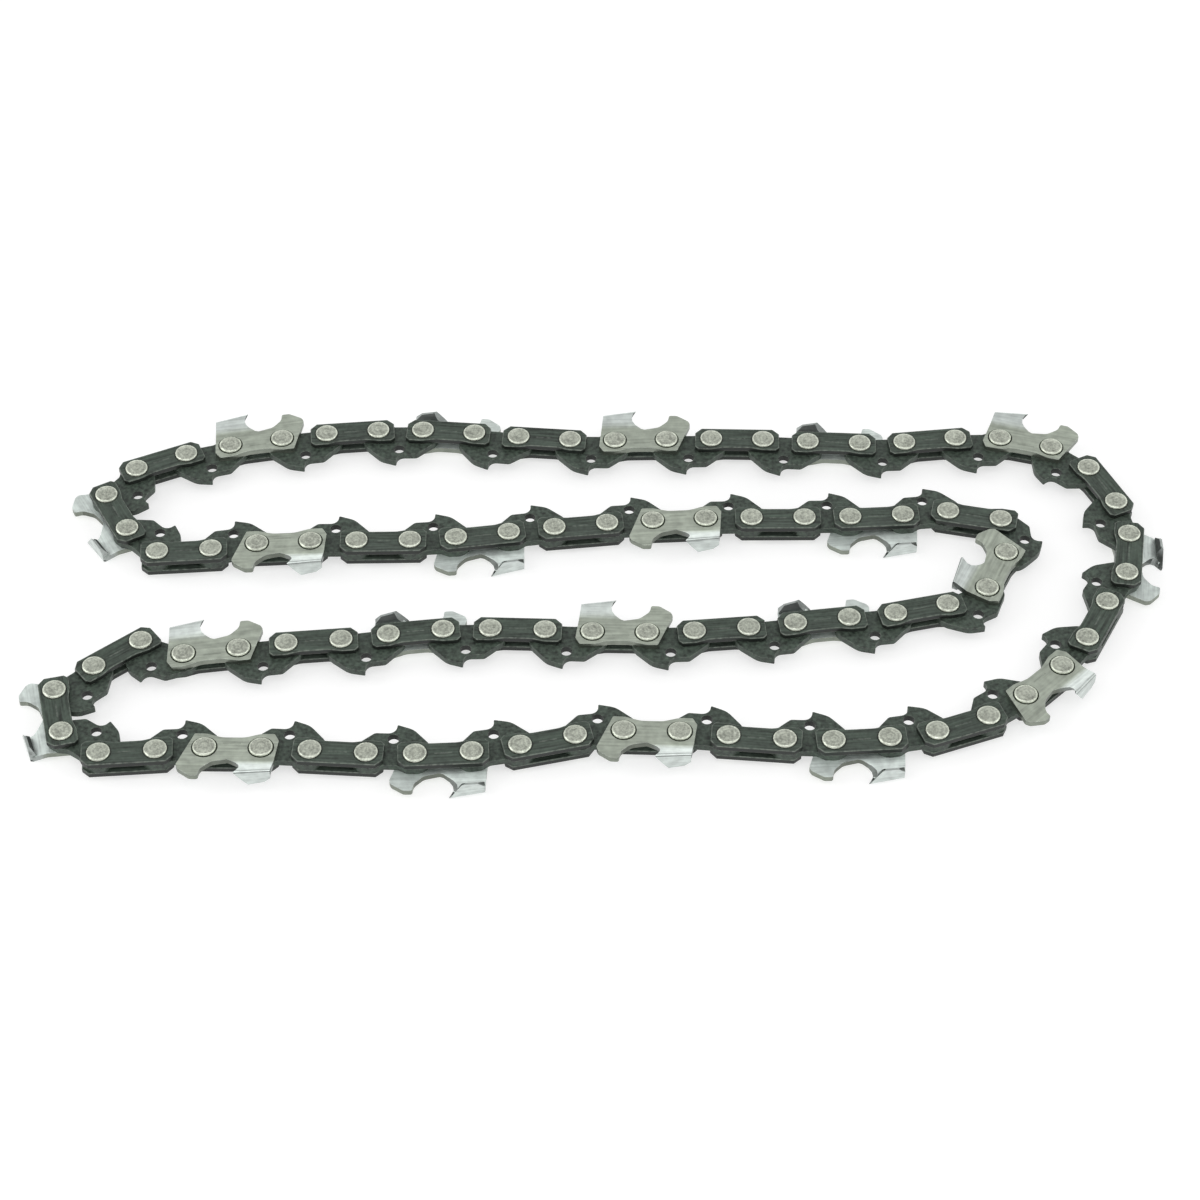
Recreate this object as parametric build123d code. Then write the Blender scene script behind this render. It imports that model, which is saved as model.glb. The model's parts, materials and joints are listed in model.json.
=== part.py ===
"""Loop of low-profile chainsaw chain, lying on its side as it is laid out for sale.

Side links and drive links follow each other round the loop. A side link is two plates held
together by two rivets: a pair of tie straps, or a cutter with a tie strap facing it. A drive
link is a single plate with a tang, and turns on the hubs of the rivets at its two ends.

Frame: millimetres, +Z up, origin in the middle of the loop on the surface that it lies on.
A link's own frame has X forward along the chain's travel, Y to the outside of the loop and
Z = 0 in the chain's middle plane.
"""
from build123d import *
import os
from cmath import phase
from math import cos, degrees, pi, radians, sin, sqrt, tan

# The chain's make-up. The two rivet spacings add up to twice the pitch.
SIDE_LINKS = 44
PATTERN = ["tie", "upper_cutter", "tie", "lower_cutter"]
TIE_SPACING = 10.0
DRIVE_SPACING = 8.64

# Sheet thicknesses: the drive links' gauge, and the straps and cutters
GAUGE = 1.3
PLATE = 1.1

# Rivets. The loop has 176 heads, so heads, hubs and holes are drawn with few sides.
HEAD_DIAMETER = 4.3
HEAD_RISE = 0.55
HEAD_SIDES = 8
HUB_DIAMETER = 3.6
HUB_PLAY = 0.1
HUB_SIDES = 6

# The one rivet where the loop opens has a hub that is thinner by this, all round
OPEN_PLAY = 0.9

# Tie strap: its reach past the rivet centres, its width and its cut corners
STRAP_REACH = 3.1
STRAP_HALF_WIDTH = 2.8
STRAP_CORNER = 1.1

# Drive link: blunt ends about the rivets, a dip in the outer edge and the hooked tang inside
BOSS_WALL = 0.9
BOSS_FLAT = 1.1
DIP_LEVEL = 1.9
DIP_HALF_LENGTH = 1.4
FLANK_DEPTH = 3.5
SHOULDER_DEPTH = 5.4
SHOULDER_LENGTH = 2.0
TANG_DEPTH = 7.4
TANG_SETBACK = 0.8
HOOK_WIDTH = 1.8
HOOK_CURVE = 0.6
TANG_BACK_LENGTH = 2.6
TANG_BACK_RISE = 0.9

# Cutter: side plate, depth gauge in front, gullet, and the tooth bent over the chain
CUTTER_HALF_WIDTH = 3.1
CUTTER_TOE = 1.7
NOSE_REACH = 4.7
NOSE_LEVEL = 3.9
NOSE_CHAMFER = 0.9
DEPTH_GAUGE_HEIGHT = 6.5
DEPTH_GAUGE_LENGTH = 1.3
DEPTH_GAUGE_SETBACK = 0.6
DEPTH_GAUGE_FOOT = 4.2
GULLET_LEVEL = 3.0
GULLET_REACH = 4.7
TOOTH_HEIGHT = 7.0
TOOTH_LENGTH = 7.2
TOOTH_REACH = 4.6
TOOTH_HOOK = 1.4
TOOTH_SET = 1.25
TOP_PLATE_DROP = 0.8
TOP_PLATE_OVERLAP = 0.8
TOP_PLATE_RAKE = 33.0

# Places that the rivet line passes as the loop lies, in order of travel from the upper left
COURSE = [
    (-87, 30), (-78, 34), (-61, 38), (-34, 40.5), (-7, 38), (30, 38), (58, 37), (77, 38.5),
    (86.5, 36.5), (93, 32), (98, 23.5), (100, 15), (99.5, 5), (94.5, -4), (89.5, -13.5),
    (84, -20.5), (76, -28), (68, -33), (58, -36), (39, -37.5), (20, -36), (2, -35.5),
    (-17, -39.5), (-53.5, -39.5), (-80, -40), (-88.5, -40), (-94.5, -34.5), (-96, -25.5),
    (-89.5, -20), (-82, -14), (-74.5, -17), (-65, -16), (-48, -14), (-30, -11.5), (7.5, -12),
    (26.5, -11), (45.5, -8.5), (65, -5), (73, -0.5), (77, 9), (76, 17.5), (65, 18.5),
    (26.5, 17), (-11, 14), (-29.5, 11.5), (-65.5, 10), (-74, 8.5), (-83, 9), (-88, 15.5),
    (-92, 23.5),
]
COURSE_SAMPLES = 3000
SCALE_RANGE = (0.2, 5.0)
SCALE_HALVINGS = 60

# Levels of the plates above the middle plane, and of that plane above the ground
PLATE_INNER = GAUGE / 2
PLATE_OUTER = PLATE_INNER + PLATE
MIDDLE_HEIGHT = PLATE_OUTER + max(TOOTH_SET, HEAD_RISE)


def prism(points, bottom, top):
    """A plate with a straight-edged outline, between two levels."""
    outline = make_face(Polyline(*points, close=True))
    return extrude(Plane.XY.offset(bottom) * outline, top - bottom)


def round_points(x, radius, sides):
    """Corners of the regular polygon that stands for a circle about a rivet."""
    turn = 2 * pi / sides
    return [(x + radius * cos(turn * i), radius * sin(turn * i)) for i in range(sides)]


def rivet_head(x):
    """A spun rivet head: a low cone on the outer face of the upper plate."""
    rim = [(px, py, PLATE_OUTER) for px, py in round_points(x, HEAD_DIAMETER / 2, HEAD_SIDES)]
    apex = (x, 0, PLATE_OUTER + HEAD_RISE)
    faces = [Face(Wire.make_polygon(rim))]
    for here, following in zip(rim, rim[1:] + rim[:1]):
        faces.append(Face(Wire.make_polygon([here, following, apex])))
    return Solid(Shell(faces))


def tie_strap():
    """The upper tie strap: a flat plate with cut corners."""
    end = TIE_SPACING / 2 + STRAP_REACH
    side = STRAP_HALF_WIDTH
    outline = [
        (-end, -side + STRAP_CORNER),
        (-end + STRAP_CORNER, -side),
        (end - STRAP_CORNER, -side),
        (end, -side + STRAP_CORNER),
        (end, side - STRAP_CORNER),
        (end - STRAP_CORNER, side),
        (-end + STRAP_CORNER, side),
        (-end, side - STRAP_CORNER),
    ]
    return prism(outline, PLATE_INNER, PLATE_OUTER)


def cutter_side_plate(heel):
    """The flat part of the upper cutter, with the depth gauge and the bottom of the gullet."""
    front = TIE_SPACING / 2
    end = front + STRAP_REACH
    side = CUTTER_HALF_WIDTH
    gauge_rear = front + DEPTH_GAUGE_SETBACK
    outline = [
        (-end, -side + STRAP_CORNER),
        (-end + STRAP_CORNER, -side),
        (front + CUTTER_TOE, -side),
        (front + NOSE_REACH, NOSE_LEVEL),
        (front + NOSE_REACH - NOSE_CHAMFER / 2, NOSE_LEVEL + NOSE_CHAMFER),
        (gauge_rear + DEPTH_GAUGE_LENGTH, DEPTH_GAUGE_HEIGHT),
        (gauge_rear, DEPTH_GAUGE_HEIGHT),
        (front, DEPTH_GAUGE_FOOT),
        (front - GULLET_REACH, GULLET_LEVEL),
        (heel, GULLET_LEVEL),
    ]
    return prism(outline, PLATE_INNER, PLATE_OUTER)


def cutter_tooth(tip):
    """The tooth: sheet set outwards, bent over the chain, hooked in front and raked."""
    corner = PLATE_OUTER + TOOTH_SET
    inner = -TOP_PLATE_OVERLAP
    section = [
        (tip, GULLET_LEVEL, PLATE_OUTER),
        (tip, TOOTH_HEIGHT, corner),
        (tip, TOOTH_HEIGHT, inner),
        (tip, TOOTH_HEIGHT - PLATE, inner),
        (tip, TOOTH_HEIGHT - PLATE, corner - PLATE),
        (tip, GULLET_LEVEL, PLATE_INNER),
    ]
    run = Vector(-TOOTH_LENGTH, -TOP_PLATE_DROP, 0)
    sheet = extrude(Face(Wire.make_polygon(section)), run.length, dir=run)
    hook = [
        (tip, TOOTH_HEIGHT),
        (tip - TOOTH_HOOK, (TOOTH_HEIGHT + GULLET_LEVEL) / 2),
        (tip - TOOTH_HOOK / 2, GULLET_LEVEL),
        (tip + TOOTH_HOOK, GULLET_LEVEL),
        (tip + TOOTH_HOOK, TOOTH_HEIGHT),
    ]
    rake_back = (corner - inner) * tan(radians(TOP_PLATE_RAKE))
    rake = Plane.XZ * make_face(Polyline((tip, corner), (tip, inner), (tip - rake_back, inner), close=True))
    return sheet - prism(hook, inner, corner) - extrude(rake, -2 * TOOTH_HEIGHT)


def cutter():
    """The upper cutter."""
    tip = -TIE_SPACING / 2 + TOOTH_REACH
    return cutter_side_plate(tip - TOOTH_LENGTH) + cutter_tooth(tip)


def drive_link():
    """A drive link, with its tang inwards and the hole for the next rivet's hub in front."""
    half = DRIVE_SPACING / 2
    boss = HUB_DIAMETER / 2 + HUB_PLAY + BOSS_WALL
    end = half + boss
    tip = -TANG_SETBACK
    shoulder_rear = tip + HOOK_WIDTH
    outline = [
        (-end, 0),
        (-half - boss / 2, -FLANK_DEPTH),
        (tip - TANG_BACK_LENGTH, -TANG_DEPTH + TANG_BACK_RISE),
        (tip, -TANG_DEPTH),
        (tip + HOOK_CURVE, -SHOULDER_DEPTH - HOOK_CURVE),
        (shoulder_rear, -SHOULDER_DEPTH),
        (shoulder_rear + SHOULDER_LENGTH, -SHOULDER_DEPTH),
        (half + boss / 2, -FLANK_DEPTH),
        (end, -BOSS_FLAT),
        (end, BOSS_FLAT),
        (half + BOSS_FLAT, boss),
        (DIP_HALF_LENGTH, DIP_LEVEL),
        (-DIP_HALF_LENGTH, DIP_LEVEL),
    ]
    hole_radius = (HUB_DIAMETER / 2 + HUB_PLAY) / cos(pi / HUB_SIDES)
    hole = prism(round_points(half, hole_radius, HUB_SIDES), -GAUGE, GAUGE)
    return prism(outline, -GAUGE / 2, GAUGE / 2) - hole


def side_link(kind, hub_diameter):
    """Two plates and their rivets, with the hub that the drive link behind turns on."""
    half = TIE_SPACING / 2
    heads = [rivet_head(-half), rivet_head(half)]
    riveted_strap = tie_strap() + heads
    riveted_cutter = cutter() + heads
    upper = riveted_cutter if kind == "upper_cutter" else riveted_strap
    lower = riveted_cutter if kind == "lower_cutter" else riveted_strap
    hub = prism(round_points(-half, hub_diameter / 2, HUB_SIDES), -PLATE_INNER, PLATE_INNER)
    return upper + mirror(lower, about=Plane.XY) + hub


def sample_course():
    """Closely spaced points along the smooth closed line of the course, as complex numbers."""
    line = Spline(*COURSE, periodic=True)
    places = (line.position_at(i / COURSE_SAMPLES, position_mode=PositionMode.PARAMETER)
              for i in range(COURSE_SAMPLES))
    return [complex(place.X, place.Y) for place in places]


def walk(course, scale):
    """Steps every rivet along the scaled course, and says how many samples that took."""
    rivets = [course[0] * scale]
    sample = 0
    share = 0.0
    for step in range(2 * SIDE_LINKS):
        spacing = DRIVE_SPACING if step % 2 else TIE_SPACING
        while abs(course[(sample + 1) % COURSE_SAMPLES] * scale - rivets[-1]) < spacing:
            sample += 1
        here = course[sample % COURSE_SAMPLES] * scale
        along = course[(sample + 1) % COURSE_SAMPLES] * scale - here
        behind = (here - rivets[-1]) / along
        share = sqrt((spacing / abs(along)) ** 2 - behind.imag ** 2) - behind.real
        rivets.append(here + along * share)
    return rivets, sample + share


def lay_rivets():
    """The rivets of the closed loop: the course is scaled until the last meets the first."""
    course = sample_course()
    small, large = SCALE_RANGE
    for _ in range(SCALE_HALVINGS):
        middle = (small + large) / 2
        if walk(course, middle)[1] > COURSE_SAMPLES:
            small = middle
        else:
            large = middle
    rivets = walk(course, large)[0]
    return rivets[:-1]


def between(rear, front):
    """The place of a link whose two rivets are given."""
    middle = (rear + front) / 2
    heading = degrees(phase(front - rear))
    return Location((middle.real, middle.imag, MIDDLE_HEIGHT), (0, 0, heading))


def build_chain():
    """Every link by name, and the rivets' places, about the middle of the loop."""
    rivets = lay_rivets()
    drive = drive_link()
    sides = {kind: side_link(kind, HUB_DIAMETER) for kind in PATTERN}
    opened = side_link(PATTERN[0], HUB_DIAMETER - 2 * OPEN_PLAY)
    links = {}
    for i in range(SIDE_LINKS):
        kind = PATTERN[i % len(PATTERN)]
        side = sides[kind] if i else opened
        rear, front, following = (rivets[(2 * i + k) % len(rivets)] for k in range(3))
        link = between(rear, front) * side + between(front, following) * drive
        links[f"link_{i + 1:02d}_{kind}"] = link.solid()
    boxes = [link.bounding_box() for link in links.values()]
    middle_x = (min(box.min.X for box in boxes) + max(box.max.X for box in boxes)) / 2
    middle_y = (min(box.min.Y for box in boxes) + max(box.max.Y for box in boxes)) / 2
    centre = Location((-middle_x, -middle_y, 0))
    middle = complex(middle_x, middle_y)
    return {name: centre * link for name, link in links.items()}, [r - middle for r in rivets]


def main():
    os.makedirs("parts", exist_ok=True)
    links, _ = build_chain()
    for name, link in links.items():
        export_step(link, f"parts/{name}.step")


if __name__ == "__main__":
    main()
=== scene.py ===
"""Loop of low-profile saw chain: its plates, cutters and rivets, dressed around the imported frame.

Outlines are in millimetres and in a link's own frame: X forward along the chain's travel,
Y to the outside of the loop, Z up from the chain's middle plane. Everything else is in metres.
"""
import json
from collections import namedtuple
from math import asin, atan2, ceil, cos, hypot, pi, radians, sin, sqrt, tan

import bmesh
import bpy
from bpy.props import FloatProperty, FloatVectorProperty, IntProperty, PointerProperty
from mathutils import Matrix, Vector


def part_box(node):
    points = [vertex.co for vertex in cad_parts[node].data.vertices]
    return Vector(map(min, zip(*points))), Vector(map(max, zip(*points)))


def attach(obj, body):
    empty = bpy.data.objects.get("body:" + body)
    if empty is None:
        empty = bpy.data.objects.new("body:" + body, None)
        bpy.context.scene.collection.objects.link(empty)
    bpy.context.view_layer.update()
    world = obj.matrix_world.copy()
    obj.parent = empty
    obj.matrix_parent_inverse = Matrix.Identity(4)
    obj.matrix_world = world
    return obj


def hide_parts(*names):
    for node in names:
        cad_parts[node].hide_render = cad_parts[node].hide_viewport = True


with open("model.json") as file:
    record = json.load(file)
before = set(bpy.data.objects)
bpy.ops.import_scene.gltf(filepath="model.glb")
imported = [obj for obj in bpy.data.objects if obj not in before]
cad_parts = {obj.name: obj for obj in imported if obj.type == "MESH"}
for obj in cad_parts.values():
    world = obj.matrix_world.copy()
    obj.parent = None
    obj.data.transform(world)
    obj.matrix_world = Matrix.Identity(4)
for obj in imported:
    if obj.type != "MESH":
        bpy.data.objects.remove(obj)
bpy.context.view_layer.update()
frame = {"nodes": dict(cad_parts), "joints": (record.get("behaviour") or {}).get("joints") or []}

bl_info = {
    "name": "Saw chain loop",
    "version": (1, 0, 0),
    "blender": (4, 5, 0),
    "location": "3D View > Sidebar > Saw chain",
    "description": "Dresses every link of a saw chain loop with its plates and rivets",
    "category": "Mesh",
}

MM = 0.001

# The first link has no cutter, so its box gives the heads' levels and the chain's middle plane
HEAD_BOTTOM, HEAD_TOP = (corner.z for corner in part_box("link_01_tie"))
MIDDLE = (HEAD_BOTTOM + HEAD_TOP) / 2
SAME_LEVEL = 0.01 * MM
SAME_PLACE = 0.001 * MM
PLACE_DIGITS = 6

# Chords of an arc lie at most this far inside it, in millimetres
ARC_SAG = 0.012

# Edges that turn by more than this are corners, and a plate's corners are broken in so many steps
CORNER_ANGLE = radians(40)
EDGE_STEPS = 2

# Plates are shaded smooth over edges that turn by less than this
SMOOTH_ANGLE = radians(21)

# From link to link the shade goes on by the golden section, so that neighbours differ
SHADE_STEP = 0.618034

Link = namedtuple("Link", "body node kind rear front following shade")


def linear(code):
    """A colour written as sRGB hex, in the linear values that shaders take."""
    shares = [int(code[i:i + 2], 16) / 255 for i in (1, 3, 5)]
    return [s / 12.92 if s <= 0.04045 else ((s + 0.055) / 1.055) ** 2.4 for s in shares]


def read_links():
    """Every link of the loop in order of travel, with its rivets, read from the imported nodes."""
    pivots = {joint["name"]: Vector(joint["pos_m"]) for joint in frame["joints"]}
    names = sorted(frame["nodes"])
    pairs = []
    for i, name in enumerate(names):
        points = (v.co for v in frame["nodes"][name].data.vertices)
        tips = {p.to_2d().to_tuple(PLACE_DIGITS) for p in points if abs(p.z - HEAD_TOP) < SAME_LEVEL}
        own = pivots.get(f"pivot_{i + 1:02d}")
        known = own or pivots[f"pivot_{i + 2:02d}"]
        near, far = sorted(tips, key=lambda tip: (Vector(tip) - known.to_2d()).length)
        pairs.append((near, far) if own else (far, near))
    links = []
    for i, name in enumerate(names):
        rear, front = pairs[i]
        following = pairs[(i + 1) % len(pairs)][0]
        places = [Vector((*place, MIDDLE)) for place in (rear, front, following)]
        word, number, kind = name.split("_", 2)
        links.append(Link(f"{word}_{number}", name, kind, *places, (i * SHADE_STEP) % 1))
    return links


LINKS = read_links()

# Half the rivet spacings of a side link and of a drive link
TIE_HALF = (LINKS[0].front - LINKS[0].rear).length / MM / 2
DRIVE_HALF = (LINKS[0].following - LINKS[0].front).length / MM / 2

# Rivet holes, and how much wider than the shank they are, all round
HOLE_SIDES = 20
HOLE_PLAY = 0.06

# The first link's rivets are thinner between their heads by this, all round: the loop opens there
OPEN_PLAY = 0.6 * MM

# The groove round each rivet head: its width, its depth in either plate, and its room round a cutter's heads
GROOVE_WIDTH = 0.16
STRAP_GROOVE, CUTTER_GROOVE, CUTTER_GROOVE_PLAY = 0.05, 0.12, 0.06

# The stamped line, which is abraded bright on a strap and drawn darker on a cutter
STAMP_LENGTH, STAMP_WIDTH = 3.2, 0.3
STRAP_STAMP_WEAR, CUTTER_STAMP_DARKENING = 0.5, 0.25


class ChainSizes(bpy.types.PropertyGroup):
    """Sizes that the pieces share"""
    gauge: FloatProperty(
        name="Gauge", description="Thickness of a drive link", default=1.3 * MM, unit="LENGTH")
    plate: FloatProperty(
        name="Plate", description="Thickness of the straps and cutters", default=1.1 * MM, unit="LENGTH")
    edge: FloatProperty(
        name="Broken edge", description="Width of the worn edge round each plate",
        default=0.15 * MM, unit="LENGTH")
    stamp_depth: FloatProperty(
        name="Stamp depth", description="Depth of the short line stamped in a plate",
        default=0.05 * MM, unit="LENGTH")
    head_diameter: FloatProperty(
        name="Head diameter", description="Rivet head, across", default=4.3 * MM, unit="LENGTH")
    shank_diameter: FloatProperty(
        name="Shank diameter", description="Rivet between its heads", default=3.2 * MM, unit="LENGTH")
    head_sides: IntProperty(
        name="Head sides", description="Corners round a rivet head", default=20, min=8)
    head_fullness: FloatProperty(
        name="Head fullness", description="1 is a cone, 2 a round head, higher is flatter", default=3.2)
    tooth_bend: FloatProperty(
        name="Tooth bend", description="Outer radius of the bend between side and top plate",
        default=0.6 * MM, unit="LENGTH")


class ChainFinishes(bpy.types.PropertyGroup):
    """Colours of the metals and the ground"""
    black_oxide: FloatVectorProperty(
        name="Black oxide", description="Blackened straps and drive links",
        default=linear("#3C473E"), subtype="COLOR")
    # This colour is also the painted highlight along the plates' edges, as well as the abraded stamped line
    worn_and_highlit_oxide: FloatVectorProperty(
        name="Worn oxide", description="Where the blackening is rubbed off, as in a stamped line",
        default=linear("#868D84"), subtype="COLOR")
    satin_steel: FloatVectorProperty(
        name="Satin steel", description="Cutters' side plates",
        default=linear("#C1C9BB"), subtype="COLOR")
    # The tooth's brighter colour is its buffed finish and also a painted highlight
    polished_steel: FloatVectorProperty(
        name="Polished steel", description="Bend and top plate of the cutters",
        default=linear("#E2EAE6"), subtype="COLOR")
    rivet_steel: FloatVectorProperty(
        name="Rivet steel", description="Spun rivet heads", default=linear("#CDD2C4"), subtype="COLOR")
    ground: FloatVectorProperty(
        name="Ground", description="Paper that the chain lies on",
        default=linear("#BCBCBC"), subtype="COLOR")
    ground_glow: FloatProperty(
        name="Ground glow", description="Light that comes through the paper to the eye", default=0.6)


def add(tree, kind, inputs=None, **settings):
    """Adds a node with its settings, and sets or links its inputs by name or number."""
    node = tree.nodes.new(kind)
    for name, value in settings.items():
        setattr(node, name, value)
    for name, value in (inputs or {}).items():
        if isinstance(value, bpy.types.NodeSocket):
            tree.links.new(value, node.inputs[name])
        else:
            node.inputs[name].default_value = value
    return node


# Outlines and sheet metal

def rounded(corners):
    """A closed outline with each corner (x, y, radius) drawn as a short fan of points."""
    points = []
    for i, (x, y, radius) in enumerate(corners):
        corner = Vector((x, y))
        back = (Vector(corners[i - 1][:2]) - corner).normalized()
        ahead = (Vector(corners[(i + 1) % len(corners)][:2]) - corner).normalized()
        half = back.angle(ahead) / 2
        centre = corner + (back + ahead).normalized() * (radius / sin(half))
        turn = pi - 2 * half
        if ahead.cross(back) < 0:
            turn = -turn
        first = corner + back * (radius / tan(half)) - centre
        steps = ceil(abs(turn) / sqrt(8 * ARC_SAG / radius)) if radius else 0
        for k in range(steps + 1):
            points.append(centre + Matrix.Rotation(turn * k / max(steps, 1), 2) @ first)
    return points


def circle(x, y, radius, sides):
    """Corners of a round hole."""
    turns = (2 * pi * k / sides for k in range(sides))
    return [Vector((x + radius * cos(turn), y + radius * sin(turn))) for turn in turns]


def new_sheet():
    """An empty sheet whose faces tell how far abrasion and a painted highlight brighten them, and how far
    painted shade and bare steel darken them.
    """
    sheet = bmesh.new()
    sheet.faces.layers.float.new("wear")
    sheet.faces.layers.float.new("dull")
    return sheet


def new_face(sheet, corners, wear=0.0, dull=0.0):
    """Adds a face with its abrasion and painted highlight, and its painted shade and bare steel."""
    face = sheet.faces.new(corners)
    face[sheet.faces.layers.float["wear"]] = wear
    face[sheet.faces.layers.float["dull"]] = dull


def new_pattern():
    """An empty flat pattern: a sheet whose corners may lie below the outer face."""
    flat = new_sheet()
    flat.verts.layers.float.new("sink")
    return flat


def corners_of(flat, points, sink=0.0):
    """Corners in a flat pattern, sunk by this below the outer face."""
    layer = flat.verts.layers.float["sink"]
    made = []
    for x, y in points:
        corner = flat.verts.new((x, y, 0))
        corner[layer] = sink
        made.append(corner)
    return made


def fill(flat, loops):
    """Fills the pattern inside the first loop and outside the others."""
    edges = []
    for loop in loops:
        for a, b in zip(loop, loop[1:] + loop[:1]):
            edges.append(flat.edges.get((a, b)) or flat.edges.new((a, b)))
    bmesh.ops.triangle_fill(flat, use_beauty=True, edges=edges, normal=(0, 0, 1))


def riveted_hole(flat, x, hole, groove, depth):
    """A rivet hole inside a ring groove, painted with shade so that it shows dark round the head. Returns
    the outer loop.
    """
    outer = corners_of(flat, circle(x, 0, groove + GROOVE_WIDTH, HOLE_SIDES))
    floor = corners_of(flat, circle(x, 0, groove, HOLE_SIDES), depth)
    inner = corners_of(flat, circle(x, 0, hole, HOLE_SIDES), depth)
    for i in range(HOLE_SIDES):
        new_face(flat, (outer[i - 1], outer[i], floor[i], floor[i - 1]), dull=1.0)
        new_face(flat, (floor[i - 1], floor[i], inner[i], inner[i - 1]), dull=1.0)
    return outer


def stamped_line(flat, x, y, depth, **finish):
    """A short plain line pressed into the plate, with its own finish. Returns its outer loop."""
    left, right = x - STAMP_LENGTH / 2, x + STAMP_LENGTH / 2
    half = STAMP_WIDTH / 2
    loop = corners_of(flat, [(left, y - half), (right, y - half), (right, y + half), (left, y + half)])
    start, end = corners_of(flat, [(left + half, y), (right - half, y)], depth)
    for corners in ((loop[0], loop[1], end, start), (loop[1], loop[2], end),
                    (loop[2], loop[3], start, end), (loop[3], loop[0], start)):
        new_face(flat, corners, **finish)
    return loop


def bright(x, y):
    """Painted shade of a plate that has none anywhere."""
    return 0.0


def dark(x, y):
    """Painted shade of a plate that is shaded all over."""
    return 1.0


def sheet_metal(name, flat, shape, edge, hidden, side_shade, inner_highlight=0.0,
                inner_shade_and_bare=bright, edge_shade=bright):
    """Gives a flat pattern its two faces and its sheared sides, with a broken edge between them that is
    abraded and painted with highlight.

    shape places a corner of the outer or inner face, and hidden tells which corners stay sharp.
    The functions for the sides, the inner face and the edges tell how much shade is painted on them, and
    where the inner face is bare, and the inner face's own number how far highlight is painted on it.
    """
    sink = flat.verts.layers.float["sink"]
    wear = flat.faces.layers.float["wear"]
    dull = flat.faces.layers.float["dull"]
    flat.verts.index_update()
    sheet = new_sheet()
    outer = [sheet.verts.new(shape(v.co.x, v.co.y, v[sink], True)) for v in flat.verts]
    inner = [sheet.verts.new(shape(v.co.x, v.co.y, 0.0, False)) for v in flat.verts]
    for face in flat.faces:
        ring = [v.index for v in face.verts]
        centre = face.calc_center_median()
        new_face(sheet, [outer[i] for i in ring], face[wear], face[dull])
        new_face(sheet, [inner[i] for i in reversed(ring)], inner_highlight, inner_shade_and_bare(centre.x, centre.y))
    for rim in flat.edges:
        if rim.is_boundary:
            a, b = (v.index for v in rim.verts)
            middle = (rim.verts[0].co + rim.verts[1].co) / 2
            corners = (outer[a], inner[a], inner[b], outer[b])
            new_face(sheet, corners, dull=side_shade(middle.x, middle.y))
    flat.free()
    bmesh.ops.recalc_face_normals(sheet, faces=sheet.faces)
    rims = [e for e in sheet.edges if e.calc_face_angle(0) > CORNER_ANGLE
            and not all(hidden(v.co) for v in e.verts)]
    rubbed_and_highlighted = bmesh.ops.bevel(sheet, geom=rims, offset=edge / MM, segments=EDGE_STEPS, profile=0.5,
                             affect="EDGES", clamp_overlap=True)
    # The broken edges are abraded and painted with highlight, and some also with shade
    for face in rubbed_and_highlighted["faces"]:
        centre = face.calc_center_median()
        face[sheet.faces.layers.float["wear"]] = 1.0
        face[sheet.faces.layers.float["dull"]] = edge_shade(centre.x, centre.y)
    for e in sheet.edges:
        e.smooth = e.calc_face_angle(pi) < SMOOTH_ANGLE
    for face in sheet.faces:
        face.smooth = True
    bmesh.ops.scale(sheet, vec=(MM, MM, MM), verts=sheet.verts)
    mesh = bpy.data.meshes.new(name)
    sheet.to_mesh(mesh)
    sheet.free()
    places = mesh.attributes.new("place", "FLOAT_VECTOR", "POINT")
    for i, vertex in enumerate(mesh.vertices):
        places.data[i].vector = vertex.co
    return mesh


def near_rivets(half, radius):
    """A test for points that lie within a radius of one of a plate's two rivets."""
    return lambda place: min(hypot(place.x - half, place.y), hypot(place.x + half, place.y)) < radius


def strap_mesh(sizes):
    """A tie strap: cut corners, and an inner edge that is drawn back between the rivets."""
    end, side, crisp = TIE_HALF + 3.1, 2.8, 0.15
    waist, waist_start, waist_end = 0.55, 5.0, 2.6
    outer_cut, inner_cut = 1.25, 0.7
    stamp_level = 0.15
    outline = rounded([
        (-end, -side + inner_cut, crisp), (-end + inner_cut, -side, crisp),
        (-waist_start, -side, 2.0), (-waist_end, -side + waist, 4.0),
        (waist_end, -side + waist, 4.0), (waist_start, -side, 2.0),
        (end - inner_cut, -side, crisp), (end, -side + inner_cut, crisp),
        (end, side - outer_cut, crisp), (end - outer_cut, side, crisp),
        (-end + outer_cut, side, crisp), (-end, side - outer_cut, crisp),
    ])
    flat = new_pattern()
    head = sizes.head_diameter / MM / 2
    hole = sizes.shank_diameter / MM / 2 + HOLE_PLAY
    loops = [corners_of(flat, outline)]
    loops.append(stamped_line(flat, 0.0, stamp_level, sizes.stamp_depth / MM, wear=STRAP_STAMP_WEAR))
    for x in (-TIE_HALF, TIE_HALF):
        loops.append(riveted_hole(flat, x, hole, head, STRAP_GROOVE))
    fill(flat, loops)
    levels = {False: sizes.gauge / MM / 2, True: (sizes.gauge / 2 + sizes.plate) / MM}

    def shape(x, y, sink, outside):
        return x, y, levels[outside] - sink

    # Its sides are painted with shade all over
    return sheet_metal("tie strap", flat, shape, sizes.edge, near_rivets(TIE_HALF, head), side_shade=dark)


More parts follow.
